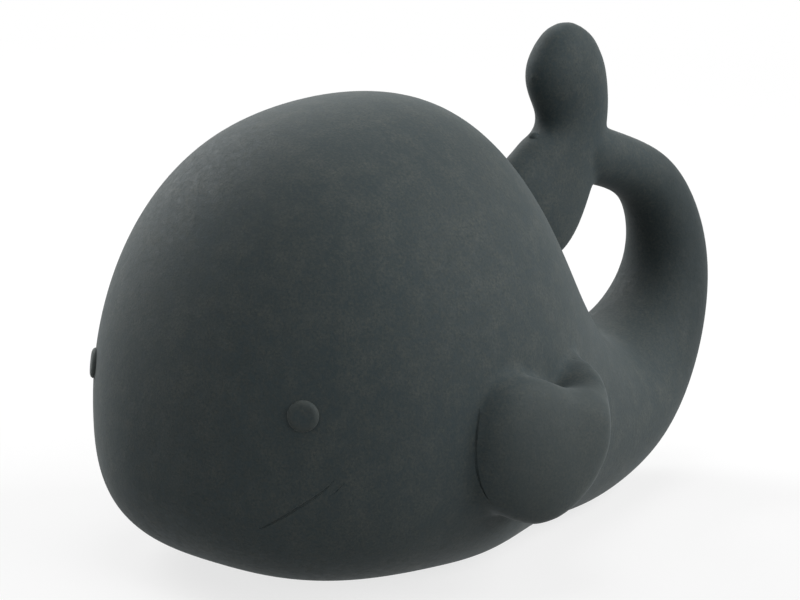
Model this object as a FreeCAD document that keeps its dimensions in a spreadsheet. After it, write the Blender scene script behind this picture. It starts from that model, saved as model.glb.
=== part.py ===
import FreeCAD, Part
import Sketcher
import math
import os

# A squeezable rubber bath whale with a squeaker plugged into its belly.
# Millimetres. The whale faces -Y, +X is its left, +Z is up. The origin is on the
# floor under the widest part of the head.

Vector = FreeCAD.Vector

SIZES = [
    # outer form of the whale
    ("nose_reach", 36.7, "nose tip ahead of the origin"),
    ("tail_reach", 81.0, "rearmost point of the tail's centre line behind the origin"),
    ("head_width", 77.4, "across the cheeks"),
    ("head_height", 73.2, "floor to crown"),
    ("tail_thickness", 14.0, "tail where it turns upwards"),
    ("wall", 2.6, "rubber wall"),
    # flukes, two round lobes that lie in the middle plane
    ("fluke_length", 22.4, "root to tip of the upper lobe"),
    ("upper_fluke_width", 15.6, "upper lobe, front to back"),
    ("lower_fluke_width", 18.8, "lower lobe, across"),
    ("fluke_thickness", 10.4, "each lobe, side to side"),
    ("upper_fluke_lean", 13.5, "degrees that the upper lobe leans forward"),
    # flippers
    ("flipper_length", 24.5, "front crease to rear rim"),
    ("flipper_height", 24.5, "top to bottom"),
    ("flipper_bulge", 5.4, "how far its outside swells from its middle"),
    ("flipper_foot", 11.0, "height of its lowest point over the floor"),
    # eyes
    ("eye_width", 5.2, "across the moulded dome"),
    ("eye_rise", 1.1, "how far the dome stands out"),
    ("eye_height", 31.7, "over the floor"),
    ("eye_spread", 40.5, "degrees from the nose to each eye"),
    # seat for the squeaker in the belly
    ("squeaker_place", 22.0, "upright axis of the squeaker behind the origin"),
    ("boss_width", 27.0, "thick ring of rubber round the hole"),
    ("boss_rise", 2.0, "boss above the inner floor"),
    ("recess_depth", 1.6, "pocket for the flange"),
    ("recess_gap", 0.3, "between flange edge and pocket"),
    ("neck_gap", 0.1, "between neck and hole"),
    # squeaker housing
    ("flange_width", 19.4, "outside flange"),
    ("flange_thickness", 1.2, "outside flange and the grille in it"),
    ("neck_width", 12.8, "through the rubber"),
    ("barb_width", 17.0, "ridge that holds the housing in the rubber"),
    ("barb_height", 2.8, "length of the ridge"),
    ("barb_gap", 0.1, "between ridge and boss"),
    ("barrel_width", 11.0, "inner end"),
    ("barrel_height", 6.0, "inner end past the ridge"),
    ("bore_width", 8.0, "air way"),
    ("grille_hole", 1.5, "air holes in the flange"),
    ("grille_circle", 5.4, "circle of the air holes"),
    ("grille_count", 6, "air holes on the circle"),
    # cap on the inner end
    ("cap_wall", 1.1, "cap's side and top"),
    ("cap_grip", 2.2, "how far the cap goes over the barrel"),
    ("cap_gap", 0.05, "between cap and barrel"),
    ("cap_hole", 1.4, "air holes in the cap"),
    ("cap_circle", 4.6, "circle of the air holes"),
    ("cap_count", 5, "air holes on the circle"),
    # reed, a thin tongue over a channel
    ("reed_gap", 0.05, "between the reed pieces and the bore"),
    ("seat_height", 9.6, "half-round piece with the channel"),
    ("channel_width", 2.2, "channel under the tongue"),
    ("channel_depth", 1.7, "channel under the tongue"),
    ("channel_end", 1.2, "solid end of the channel"),
    ("seat_relief", 0.45, "how far the seat falls away at its free end"),
    ("wedge_height", 3.0, "half-round piece that clamps the tongue"),
    ("tongue_width", 3.2, "tongue"),
    ("tongue_thickness", 0.2, "tongue"),
    ("tongue_root", 1.2, "length of tongue inside the clamp"),
    ("tongue_tip_gap", 0.6, "seat's end past the tongue's tip"),
    ("tongue_gap", 0.08, "on each face of the tongue"),
    # shared
    ("overrun", 1.0, "how far every cutting shape passes the surface"),
]

# Stations of the body: place and half sizes as shares, all chosen by hand.
# along: of tail_reach, middle: of head_height, tilt in degrees,
# half width: of half the head_width, rise and drop: of head_height, squareness.
body_shares = [
    (0.037, 0.398, 0.0, 1.000, 0.602, 0.430, 2.42),
    (0.259, 0.358, -3.0, 0.876, 0.592, 0.388, 2.42),
    (0.460, 0.252, -3.0, 0.666, 0.432, 0.284, 2.34),
    (0.668, 0.202, 9.0, 0.494, 0.258, 0.220, 2.14),
]

# Stations of the tail: along and middle as above, tilt, half size: of half the tail_thickness.
tail_shares = [
    (0.872, 0.252, 49.0, 1.700),
    (1.000, 0.456, 90.0, 1.070),
    (0.955, 0.664, 128.0, 0.800),
    (0.834, 0.752, 152.0, 0.680),
    (0.745, 0.790, 160.0, 0.640),
]
hollow_tail_stations = 3        # the tail is solid rubber past these

# Nose: rings on a quarter round, in degrees from the pole.
nose_angles = (14.0, 32.0, 51.0, 70.0)
nose_height_share = 0.270       # height of the nose tip, of head_height
nose_squareness = 2.08          # 2 would be a round nose, more is fuller

# Flukes: places of tail_reach and head_height. The lower lobe's tip joins the back.
fluke_root_shares = (0.723, 0.786)
fluke_bend_shares = (0.677, 0.805)
lower_fluke_tip_shares = (0.492, 0.619)
fluke_bend_width_share = 0.96   # of the upper lobe's width
# Each lobe from the bend outwards: along, half width, half thickness.
lobe_shares = [
    (0.42, 0.96, 0.96),
    (0.62, 1.00, 1.00),
    (0.80, 0.86, 0.86),
    (0.92, 0.57, 0.58),
]

# Flipper: a pillow from the crease in the cheek to the thin rear rim, and a fold that
# runs from the rim back into the body. Each has upright rings along a level line.
# along: of flipper_length, shift outwards: of flipper_bulge, bottom and top: of
# flipper_height, outside and inside: of flipper_bulge.
pillow_shares = [
    (0.03, -0.30, 0.29, 0.78, 0.40, 0.43),
    (0.11, -0.28, 0.18, 0.91, 0.74, 0.74),
    (0.24, -0.26, 0.06, 0.99, 0.96, 1.30),
    (0.41, -0.24, 0.00, 1.00, 1.00, 1.57),
    (0.57, -0.20, 0.01, 0.95, 0.91, 1.67),
    (0.69, -0.18, 0.07, 0.89, 0.74, 1.67),
    (0.82, -0.18, 0.17, 0.86, 0.59, 1.57),
    (0.90, -0.20, 0.28, 0.87, 0.48, 1.20),
    (0.96, -0.18, 0.39, 0.84, 0.35, 0.55),
    (0.99, -0.16, 0.50, 0.78, 0.18, 0.22),
]
pillow_rim_shares = (1.00, -0.15, 0.64)
pillow_place_shares = (0.96, -0.065)    # of half the head_width and of tail_reach
pillow_turn = 23.0                      # degrees outwards from the rear
fold_shares = [
    (-0.03, -0.18, 0.43, 0.82, 0.12, 0.41),
    (0.06, -0.09, 0.37, 0.89, 0.26, 0.96),
    (0.16, -0.04, 0.29, 0.93, 0.28, 1.48),
    (0.29, 0.00, 0.20, 0.95, 0.30, 1.76),
    (0.41, 0.00, 0.14, 0.95, 0.31, 1.85),
    (0.70, 0.00, 0.12, 0.96, 0.33, 1.85),
]
fold_place_shares = (1.158, 0.225)
fold_turn = -66.5

rings_per_span = 2
ring_points = 12                # on each half ring
slim_ring_points = 8
round_squareness = 2.0


def make_sheet(doc):
    sheet = doc.addObject("Spreadsheet::Sheet", "Sizes")
    for row, (alias, value, note) in enumerate(SIZES, start=1):
        sheet.set("A%d" % row, note)
        sheet.set("B%d" % row, str(value))
        sheet.setAlias("B%d" % row, alias)
    doc.recompute()
    return sheet


doc = FreeCAD.newDocument("BathWhale")
sheet = make_sheet(doc)


def size(alias):
    return float(sheet.get(alias))


# The rubber skin

def ring_curve(station, hand, count):
    """A smooth closed ring that starts at its lowest point.

    Its upper part is an ellipse and its lower part may be squarer.
    """
    centre, side, up, near, far, rise, drop, squareness = station
    points = []
    for step in range(2 * count):
        angle = math.pi * (step / count - 0.5)
        across, lift = math.cos(angle), math.sin(angle)
        power = 2 / (round_squareness if lift >= 0 else squareness)
        width = near if hand * across > 0 else far
        height = (rise if lift >= 0 else drop) * math.copysign(abs(lift) ** power, lift)
        across = math.copysign(abs(across) ** power, hand * across)
        points.append(centre + side * (width * across) + up * height)
    curve = Part.BSplineCurve()
    curve.interpolate(Points=points, PeriodicFlag=True, Parameters=list(range(2 * count + 1)))
    return curve


def half_ring(station, hand, count):
    """One side of a ring, from its lowest to its highest point."""
    curve = ring_curve(station, hand, count)
    curve.segment(0, count)
    return Part.Wire(curve.toShape())


def ring_loft(stations, count, start=None, end=None):
    """A solid through rings whose two sides are mirror images.

    An end with a point is drawn in to it, or else is flat.
    """
    faces = []
    end_edges = {0: [], -1: []}
    for hand in (1, -1):
        sections = [half_ring(station, hand, count) for station in stations]
        for index, edges in end_edges.items():
            edges.extend(sections[index].Edges)
        if start:
            sections.insert(0, Part.Vertex(start))
        if end:
            sections.append(Part.Vertex(end))
        faces.extend(Part.makeLoft(sections, False).Faces)
    if not start:
        faces.append(Part.Face(Part.Wire(end_edges[0])))
    if not end:
        faces.append(Part.Face(Part.Wire(end_edges[-1])))
    skin = Part.makeCompound(faces)
    skin.sewShape()
    solid = Part.Solid(skin.Shells[0])
    if solid.Volume < 0:
        solid.reverse()
    return solid


def plane_axes(tilt):
    """Axes of a ring in the middle plane, for a path that runs at this tilt above +Y."""
    turn = math.radians(tilt)
    return Vector(1, 0, 0), Vector(0, -math.sin(turn), math.cos(turn))


def body_rows():
    """Stations of body and tail in millimetres."""
    rows = []
    for along, middle, tilt, half, rise, drop, squareness in body_shares:
        rows.append((
            along * size("tail_reach"),
            middle * size("head_height"),
            tilt,
            half * size("head_width") / 2,
            rise * size("head_height"),
            drop * size("head_height"),
            squareness,
        ))
    for along, middle, tilt, half in tail_shares:
        radius = half * size("tail_thickness") / 2
        rows.append((
            along * size("tail_reach"),
            middle * size("head_height"),
            tilt,
            radius,
            radius,
            radius,
            round_squareness,
        ))
    return rows


def eased_rows(rows):
    """Extra stations between the given ones, on smooth curves through all of them."""
    places = [0.0]
    for before, after in zip(rows, rows[1:]):
        step = math.hypot(after[0] - before[0], after[1] - before[1])
        places.append(places[-1] + step)
    columns = []
    for column in zip(*rows):
        secants = [
            (after - before) / (right - left)
            for before, after, left, right in zip(column, column[1:], places, places[1:])
        ]
        slopes = [0.0]
        for index in range(1, len(secants)):
            left = places[index] - places[index - 1]
            right = places[index + 1] - places[index]
            slope = (secants[index - 1] * right + secants[index] * left) / (left + right)
            slopes.append(slope)
        columns.append((column, slopes + [secants[-1]]))
    columns[0][1][0] = 1.0
    eased = []
    for index, (left, right) in enumerate(zip(places, places[1:])):
        for step in range(rings_per_span):
            part = step / rings_per_span
            rest = 1 - part
            eased.append(tuple(
                values[index] * (1 + 2 * part) * rest ** 2
                + slopes[index] * (right - left) * part * rest ** 2
                + values[index + 1] * (3 - 2 * part) * part ** 2
                - slopes[index + 1] * (right - left) * rest * part ** 2
                for values, slopes in columns
            ))
    return eased + [rows[-1]]


def body_form(inset, tail_stations):
    """The closed form of body and tail, moved inwards by inset."""
    first, *rest = eased_rows(body_rows())
    along, middle, tilt, half, rise, drop, squareness = first
    reach = along + size("nose_reach") - inset
    nose_height = nose_height_share * size("head_height")
    rows = []
    for angle in nose_angles:
        turn = math.radians(angle)
        spread = math.sin(turn) ** (2 / nose_squareness)
        rows.append((
            along - reach * math.cos(turn) ** (2 / nose_squareness),
            nose_height + (middle - nose_height) * spread,
            tilt,
            (half - inset) * spread,
            (rise - inset) * spread,
            (drop - inset) * spread,
            squareness,
        ))
    for along, middle, tilt, half, rise, drop, squareness in (
            [first] + rest[:(len(body_shares) - 1 + tail_stations) * rings_per_span]):
        rows.append((along, middle, tilt, half - inset, rise - inset, drop - inset, squareness))
    stations = []
    for along, middle, tilt, half, rise, drop, squareness in rows:
        side, up = plane_axes(tilt)
        centre = Vector(0, along, middle)
        stations.append((centre, side, up, half, half, rise, drop, squareness))
    nose_tip = Vector(0, inset - size("nose_reach"), nose_height)
    return ring_loft(stations, ring_points, start=nose_tip)


def middle_point(shares):
    """A point in the middle plane, from shares of tail_reach and head_height."""
    along, middle = shares
    return Vector(0, along * size("tail_reach"), middle * size("head_height"))


def lobe_stations(root, tip, path, width):
    """Stations of one fluke lobe from the bend towards its tip.

    The path is the way in which the rings follow one another.
    """
    side = Vector(1, 0, 0)
    up = side.cross(path).normalize()
    stations = []
    for along, half, thick in lobe_shares:
        centre = root + (tip - root) * along
        reach = half * width / 2
        thickness = thick * size("fluke_thickness") / 2
        stations.append((centre, side, up, thickness, thickness, reach, reach, round_squareness))
    return stations


def fluke_form():
    """Both lobes as one bent form, from the upper tip to the lower tip."""
    root = middle_point(fluke_root_shares)
    lean = math.radians(size("upper_fluke_lean"))
    upper_tip = root + Vector(0, -math.sin(lean), math.cos(lean)) * size("fluke_length")
    lower_tip = middle_point(lower_fluke_tip_shares)
    upper = lobe_stations(root, upper_tip, root - upper_tip, size("upper_fluke_width"))
    lower = lobe_stations(root, lower_tip, lower_tip - root, size("lower_fluke_width"))
    side = Vector(1, 0, 0)
    path = (root - upper_tip).normalize() + (lower_tip - root).normalize()
    up = side.cross(path).normalize()
    reach = fluke_bend_width_share * size("upper_fluke_width") / 2
    thickness = lobe_shares[0][2] * size("fluke_thickness") / 2
    centre = middle_point(fluke_bend_shares)
    bend = (centre, side, up, thickness, thickness, reach, reach, round_squareness)
    rings = upper[::-1] + [bend] + lower
    return ring_loft(rings, slim_ring_points, start=upper_tip, end=lower_tip)


def upright_loft(rows, place_shares, turn, tip=None):
    """A solid through upright rings that follow one another along a level line.

    It starts flat, and is drawn in to a point at its end or else is flat there too.
    """
    angle = math.radians(turn)
    side = Vector(math.cos(angle), -math.sin(angle), 0)
    path = Vector(math.sin(angle), math.cos(angle), 0)
    up = Vector(0, 0, 1)
    out, behind = place_shares
    foot = Vector(out * size("head_width") / 2, behind * size("tail_reach"), size("flipper_foot"))

    def point(along, shift, height):
        return (
            foot + path * (along * size("flipper_length"))
            + side * (shift * size("flipper_bulge")) + up * (height * size("flipper_height")))

    sections = []
    for along, shift, bottom, top, outside, inside in rows:
        reach = (top - bottom) * size("flipper_height") / 2
        station = (
            point(along, shift, (bottom + top) / 2),
            side,
            up,
            outside * size("flipper_bulge"),
            inside * size("flipper_bulge"),
            reach,
            reach,
            round_squareness,
        )
        sections.append(Part.Wire(ring_curve(station, 1, slim_ring_points).toShape()))
    if tip:
        sections.append(Part.Vertex(point(*tip)))
    return Part.makeLoft(sections, True)


def pillow_form():
    """The left flipper's pillow."""
    return upright_loft(pillow_shares, pillow_place_shares, pillow_turn, pillow_rim_shares)


def fold_form():
    """The left flipper's fold, from inside the pillow's rim to inside the body."""
    return upright_loft(fold_shares, fold_place_shares, fold_turn)


def feature(name, shape):
    """A document object that holds a computed shape."""
    obj = doc.addObject("Part::Feature", name)
    obj.Shape = shape
    obj.Placement = FreeCAD.Placement()
    return obj


squeaker_axis = "Sizes.squeaker_place"


def cylinder(name, diameter, height, base):
    """An upright cylinder on the squeaker axis, tied to the sheet."""
    obj = doc.addObject("Part::Cylinder", name)
    obj.setExpression("Radius", "(%s) / 2" % diameter)
    obj.setExpression("Height", height)
    obj.setExpression("Placement.Base.y", squeaker_axis)
    obj.setExpression("Placement.Base.z", base)
    return obj


def combine(kind, name, **links):
    """A boolean between document objects."""
    obj = doc.addObject(kind, name)
    for link, value in links.items():
        setattr(obj, link, value)
    return obj


def eye(name, hand, form):
    """A shallow dome where a level line from the head's middle meets the skin."""
    turn = math.radians(size("eye_spread")) * hand
    outwards = Vector(math.sin(turn), -math.cos(turn), 0)
    centre = Vector(0, 0, size("eye_height"))
    line = Part.makeLine(centre, centre + outwards * size("head_width"))
    skin_point = max(
        (vertex.Point for vertex in form.common(line).Vertexes),
        key=lambda point: point.distanceToPoint(centre),
    )
    obj = doc.addObject("Part::Sphere", name)
    ball = "((Sizes.eye_width / 2) ^ 2 + Sizes.eye_rise ^ 2) / (2 * Sizes.eye_rise)"
    obj.setExpression("Radius", ball)
    half = size("eye_width") / 2
    radius = (half ** 2 + size("eye_rise") ** 2) / (2 * size("eye_rise"))
    obj.Placement.Base = skin_point - outwards * (radius - size("eye_rise"))
    return obj


def floor_block(name, level):
    """A block under a level, which cuts a form flat there."""
    block = doc.addObject("Part::Box", name)
    block.setExpression("Length", "2 * Sizes.head_width")
    block.setExpression("Width", "2 * (Sizes.nose_reach + Sizes.tail_reach)")
    block.setExpression("Height", "Sizes.head_height")
    block.setExpression("Placement.Base.x", "-Sizes.head_width")
    block.setExpression("Placement.Base.y", "-2 * Sizes.nose_reach")
    block.setExpression("Placement.Base.z", "%s - Sizes.head_height" % level)
    return block


def make_skin():
    outside = feature("BodyForm", body_form(0.0, len(tail_shares)))
    flat_body = combine(
        "Part::Cut", "FlatBody",
        Base=outside, Tool=floor_block("UnderFloor", "0"))
    left_flipper = combine(
        "Part::Fuse", "LeftFlipper",
        Base=feature("LeftPillow", pillow_form()), Tool=feature("LeftFold", fold_form()))
    right_flipper = combine(
        "Part::Mirroring", "RightFlipper",
        Source=left_flipper, Normal=Vector(1, 0, 0))
    outer = combine(
        "Part::MultiFuse", "OuterForm",
        Shapes=[
            flat_body,
            feature("Flukes", fluke_form()),
            left_flipper,
            right_flipper,
            eye("LeftEye", 1, outside.Shape),
            eye("RightEye", -1, outside.Shape),
        ])
    cavity = combine(
        "Part::Cut", "FlatCavity",
        Base=feature("CavityForm", body_form(size("wall"), hollow_tail_stations)),
        Tool=floor_block("UnderCavity", "Sizes.wall"))
    boss = cylinder("Boss", "Sizes.boss_width", "Sizes.wall + Sizes.boss_rise", "0")
    hollow = combine("Part::Cut", "CavityRoundBoss", Base=cavity, Tool=boss)
    recess = cylinder(
        "Recess",
        "Sizes.flange_width + 2 * Sizes.recess_gap",
        "Sizes.recess_depth + Sizes.overrun",
        "-Sizes.overrun")
    neck_hole = cylinder(
        "NeckHole",
        "Sizes.neck_width + 2 * Sizes.neck_gap",
        "Sizes.wall + Sizes.boss_rise + 2 * Sizes.overrun",
        "-Sizes.overrun")
    openings = combine("Part::MultiFuse", "Openings", Shapes=[hollow, recess, neck_hole])
    return combine("Part::Cut", "WhaleSkin", Base=outer, Tool=openings)


# The squeaker, made of bodies with sketches

def origin_plane(body, role):
    return next(item for item in body.Origin.OriginFeatures if item.Role == role)


def new_body(name):
    return doc.addObject("PartDesign::Body", name)


def new_sketch(body, name, role):
    sketch = body.newObject("Sketcher::SketchObject", name)
    sketch.AttachmentSupport = [(origin_plane(body, role), "")]
    sketch.MapMode = "FlatFace"
    return sketch


def number(expression):
    """The present value of an expression of the sheet's sizes."""
    result = sheet.evalExpression(expression.replace("Sizes.", ""))
    return float(getattr(result, "Value", result))


def place_point(sketch, geometry, position, expressions):
    """Fix a point of a sketch at a place given by two expressions."""
    for kind, expression, axis in zip(("DistanceX", "DistanceY"), expressions, (-2, -1)):
        value = number(expression)
        if value == 0:
            sketch.addConstraint(Sketcher.Constraint("PointOnObject", geometry, position, axis))
            continue
        ends = (-1, 1, geometry, position) if value > 0 else (geometry, position, -1, 1)
        index = sketch.addConstraint(Sketcher.Constraint(kind, *ends, abs(value)))
        signed = expression if value > 0 else "-(%s)" % expression
        sketch.setExpression("Constraints[%d]" % index, signed)


def polygon(sketch, corners):
    """A closed outline of straight lines whose corners are expressions."""
    points = [Vector(number(x), number(y), 0) for x, y in corners]
    first = sketch.GeometryCount
    count = len(points)
    for index, point in enumerate(points):
        sketch.addGeometry(Part.LineSegment(point, points[(index + 1) % count]), False)
    for index in range(count):
        following = first + (index + 1) % count
        sketch.addConstraint(Sketcher.Constraint("Coincident", first + index, 2, following, 1))
    for index, corner in enumerate(corners):
        place_point(sketch, first + index, 1, corner)


def circle(sketch, centre, diameter):
    """A circle whose centre and diameter are expressions."""
    middle = Vector(number(centre[0]), number(centre[1]), 0)
    shape = Part.Circle(middle, Vector(0, 0, 1), number(diameter) / 2)
    index = sketch.addGeometry(shape, False)
    place_point(sketch, index, 3, centre)
    constraint = sketch.addConstraint(Sketcher.Constraint("Diameter", index, number(diameter)))
    sketch.setExpression("Constraints[%d]" % constraint, diameter)


def revolve(body, sketch):
    """A full turn of a profile on the XZ plane about the upright axis."""
    turned = body.newObject("PartDesign::Revolution", sketch.Name + "Turned")
    turned.Profile = sketch
    turned.ReferenceAxis = (sketch, ["V_Axis"])
    turned.Angle = 360
    sketch.Visibility = False
    return turned


def pocket_up(body, sketch, depth):
    """A pocket from the XY plane upwards."""
    cut = body.newObject("PartDesign::Pocket", sketch.Name + "Cut")
    cut.Profile = sketch
    cut.setExpression("Length", depth)
    cut.Reversed = True
    return cut


def ring_of_holes(body, base_name, circle_size, hole, count, depth):
    """A middle hole, and a hole repeated round a circle."""
    middle = new_sketch(body, base_name + "Middle", "XY_Plane")
    circle(middle, ("0", "0"), hole)
    pocket_up(body, middle, depth)
    outer = new_sketch(body, base_name + "Outer", "XY_Plane")
    circle(outer, (circle_size + " / 2", "0"), hole)
    cut = pocket_up(body, outer, depth)
    pattern = body.newObject("PartDesign::PolarPattern", base_name + "Pattern")
    pattern.Originals = [cut]
    pattern.Axis = (origin_plane(body, "Z_Axis"), [""])
    pattern.Angle = 360
    pattern.setExpression("Occurrences", count)
    body.Tip = pattern


# Heights over the housing's outer face
barb_foot = "Sizes.flange_thickness + Sizes.wall + Sizes.boss_rise - Sizes.recess_depth + Sizes.barb_gap"
barb_top = barb_foot + " + Sizes.barb_height"
barrel_top = barb_top + " + Sizes.barrel_height"
housing_lift = "Sizes.recess_depth - Sizes.flange_thickness"
reed_foot = "Sizes.recess_depth"


def place_squeaker_piece(body, lift):
    body.setExpression("Placement.Base.y", squeaker_axis)
    body.setExpression("Placement.Base.z", lift)


def make_housing():
    body = new_body("SqueakerHousing")
    profile = new_sketch(body, "HousingProfile", "XZ_Plane")
    polygon(profile, [
        ("0", "0"),
        ("Sizes.flange_width / 2", "0"),
        ("Sizes.flange_width / 2", "Sizes.flange_thickness"),
        ("Sizes.neck_width / 2", "Sizes.flange_thickness"),
        ("Sizes.neck_width / 2", barb_foot),
        ("Sizes.barb_width / 2", barb_foot),
        ("Sizes.barrel_width / 2", barb_top),
        ("Sizes.barrel_width / 2", barrel_top),
        ("Sizes.bore_width / 2", barrel_top),
        ("Sizes.bore_width / 2", "Sizes.flange_thickness"),
        ("0", "Sizes.flange_thickness"),
    ])
    revolve(body, profile)
    ring_of_holes(
        body, "Grille", "Sizes.grille_circle", "Sizes.grille_hole",
        "Sizes.grille_count", "Sizes.flange_thickness + Sizes.overrun")
    place_squeaker_piece(body, housing_lift)
    return body


def make_cap():
    body = new_body("SqueakerCap")
    profile = new_sketch(body, "CapProfile", "XZ_Plane")
    inner = "Sizes.barrel_width / 2 + Sizes.cap_gap"
    outer = inner + " + Sizes.cap_wall"
    top = "Sizes.cap_grip + Sizes.cap_wall"
    polygon(profile, [
        (inner, "0"),
        (outer, "0"),
        (outer, top),
        ("0", top),
        ("0", "Sizes.cap_grip"),
        (inner, "Sizes.cap_grip"),
    ])
    revolve(body, profile)
    ring_of_holes(
        body, "CapHoles", "Sizes.cap_circle", "Sizes.cap_hole",
        "Sizes.cap_count", top + " + Sizes.overrun")
    place_squeaker_piece(body, "%s + %s - Sizes.cap_grip" % (housing_lift, barrel_top))
    return body


def half_round(body, name, inner_face, hand, height):
    """A pad of the part of the bore on one side of a flat face across X."""
    sketch = new_sketch(body, name, "XY_Plane")
    radius = "(Sizes.bore_width / 2 - Sizes.reed_gap)"
    reach = number(radius)
    face = number(inner_face)
    half_chord = math.sqrt(reach ** 2 - face ** 2)
    start = math.atan2(half_chord, face)
    if hand > 0:
        first_angle, last_angle = -start, start
    else:
        first_angle, last_angle = start, 2 * math.pi - start
    around = Part.Circle(Vector(0, 0, 0), Vector(0, 0, 1), reach)
    sketch.addGeometry(Part.ArcOfCircle(around, first_angle, last_angle), False)
    ends = [Vector(face, -hand * half_chord, 0), Vector(face, hand * half_chord, 0)]
    sketch.addGeometry(Part.LineSegment(ends[1], ends[0]), False)
    sketch.addConstraint(Sketcher.Constraint("Coincident", 0, 2, 1, 1))
    sketch.addConstraint(Sketcher.Constraint("Coincident", 0, 1, 1, 2))
    sketch.addConstraint(Sketcher.Constraint("Coincident", 0, 3, -1, 1))
    sketch.addConstraint(Sketcher.Constraint("Vertical", 1))
    index = sketch.addConstraint(Sketcher.Constraint("Radius", 0, reach))
    sketch.setExpression("Constraints[%d]" % index, radius)
    ends_of_face = (-1, 1, 1, 1) if hand > 0 else (1, 1, -1, 1)
    index = sketch.addConstraint(Sketcher.Constraint("DistanceX", *ends_of_face, abs(face)))
    signed = inner_face if hand > 0 else "-(%s)" % inner_face
    sketch.setExpression("Constraints[%d]" % index, signed)
    pad = body.newObject("PartDesign::Pad", name + "Pad")
    pad.Profile = sketch
    pad.setExpression("Length", height)
    return pad


tongue_side = "Sizes.tongue_thickness / 2 + Sizes.tongue_gap"


def through_cut(body, sketch):
    """A pocket both ways from its sketch, through the whole piece."""
    cut = body.newObject("PartDesign::Pocket", sketch.Name + "Cut")
    cut.Profile = sketch
    cut.Midplane = True
    cut.setExpression("Length", "Sizes.bore_width + Sizes.overrun")
    return cut


def make_seat():
    body = new_body("ReedSeat")
    face = "-(%s)" % tongue_side
    half_round(body, "SeatSection", face, -1, "Sizes.seat_height")
    relief = new_sketch(body, "ReliefProfile", "XZ_Plane")
    polygon(relief, [
        (face, "Sizes.wedge_height"),
        ("Sizes.overrun", "Sizes.wedge_height"),
        ("Sizes.overrun", "Sizes.seat_height"),
        ("%s - Sizes.seat_relief" % face, "Sizes.seat_height"),
    ])
    through_cut(body, relief)
    channel = new_sketch(body, "ChannelSection", "XY_Plane")
    inner = "%s - Sizes.channel_depth" % face
    polygon(channel, [
        (inner, "-Sizes.channel_width / 2"),
        ("Sizes.overrun", "-Sizes.channel_width / 2"),
        ("Sizes.overrun", "Sizes.channel_width / 2"),
        (inner, "Sizes.channel_width / 2"),
    ])
    pocket_up(body, channel, "Sizes.seat_height - Sizes.channel_end")
    place_squeaker_piece(body, reed_foot)
    return body


def make_wedge():
    body = new_body("ReedWedge")
    half_round(body, "WedgeSection", tongue_side, 1, "Sizes.wedge_height")
    place_squeaker_piece(body, reed_foot)
    return body


def make_tongue():
    body = new_body("ReedTongue")
    outline = new_sketch(body, "TongueOutline", "YZ_Plane")
    foot = "Sizes.wedge_height - Sizes.tongue_root"
    tip = "Sizes.seat_height - Sizes.tongue_tip_gap"
    polygon(outline, [
        ("-Sizes.tongue_width / 2", foot),
        ("Sizes.tongue_width / 2", foot),
        ("Sizes.tongue_width / 2", tip),
        ("-Sizes.tongue_width / 2", tip),
    ])
    strip = body.newObject("PartDesign::Pad", "TongueStrip")
    strip.Profile = outline
    strip.Midplane = True
    strip.setExpression("Length", "Sizes.tongue_thickness")
    place_squeaker_piece(body, reed_foot)
    return body


SUB_PARTS = {
    "whale_skin": make_skin,
    "squeaker_housing": make_housing,
    "squeaker_cap": make_cap,
    "reed_seat": make_seat,
    "reed_wedge": make_wedge,
    "reed_tongue": make_tongue,
}


def check(sub_parts):
    """Stop before anything is written if an object failed or a shape is unsound."""
    for obj in doc.Objects:
        if "Invalid" in obj.State or "Error" in obj.State:
            raise RuntimeError("%s failed: %s" % (obj.Label, obj.State))
    for obj in sub_parts:
        if obj.Shape.isNull() or not obj.Shape.isValid():
            raise RuntimeError("%s has no valid shape" % obj.Label)


def main():
    sub_parts = []
    for label, make in SUB_PARTS.items():
        obj = make()
        obj.Label = label
        sub_parts.append(obj)
    doc.recompute()
    check(sub_parts)
    os.makedirs("parts", exist_ok=True)
    for obj in sub_parts:
        obj.Shape.exportStep(os.path.join("parts", obj.Label + ".step"))
        box = obj.Shape.BoundBox
        print("%-18s solids %d volume %.1f size %.1f %.1f %.1f" % (
            obj.Label, len(obj.Shape.Solids), obj.Shape.Volume,
            box.XLength, box.YLength, box.ZLength))


main()
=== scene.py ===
import math

import bmesh
import bpy
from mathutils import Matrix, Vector


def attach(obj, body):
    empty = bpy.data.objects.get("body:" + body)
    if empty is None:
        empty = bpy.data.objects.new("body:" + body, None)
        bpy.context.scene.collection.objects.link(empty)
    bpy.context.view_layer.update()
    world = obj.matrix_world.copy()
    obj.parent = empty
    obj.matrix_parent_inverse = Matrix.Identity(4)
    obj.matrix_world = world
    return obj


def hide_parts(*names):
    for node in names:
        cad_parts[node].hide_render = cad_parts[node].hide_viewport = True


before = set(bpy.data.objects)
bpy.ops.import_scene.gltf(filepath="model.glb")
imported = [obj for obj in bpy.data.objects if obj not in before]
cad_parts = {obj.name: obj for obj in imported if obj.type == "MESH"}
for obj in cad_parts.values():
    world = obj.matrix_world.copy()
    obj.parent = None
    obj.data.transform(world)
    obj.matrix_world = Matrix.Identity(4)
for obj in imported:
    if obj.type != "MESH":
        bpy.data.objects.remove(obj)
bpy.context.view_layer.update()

mm = 0.001


# Modelling helpers

def startPiece(name):
    # Name the object that a primitive has just made, with its place moved into its mesh
    piece = bpy.context.object
    piece.name = name
    piece.data.name = name
    bpy.ops.object.transform_apply(location=True, rotation=True, scale=True)
    return piece


def only(piece):
    bpy.ops.object.select_all(action="DESELECT")
    piece.select_set(True)
    bpy.context.view_layer.objects.active = piece


def applied(piece, kind, **settings):
    # Add a modifier, set it and apply it
    only(piece)
    modifier = piece.modifiers.new(kind.title(), kind)
    for key, value in settings.items():
        setattr(modifier, key, value)
    bpy.ops.object.modifier_apply(modifier=modifier.name)


def removed(*pieces):
    for piece in pieces:
        bpy.data.objects.remove(piece)


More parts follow.
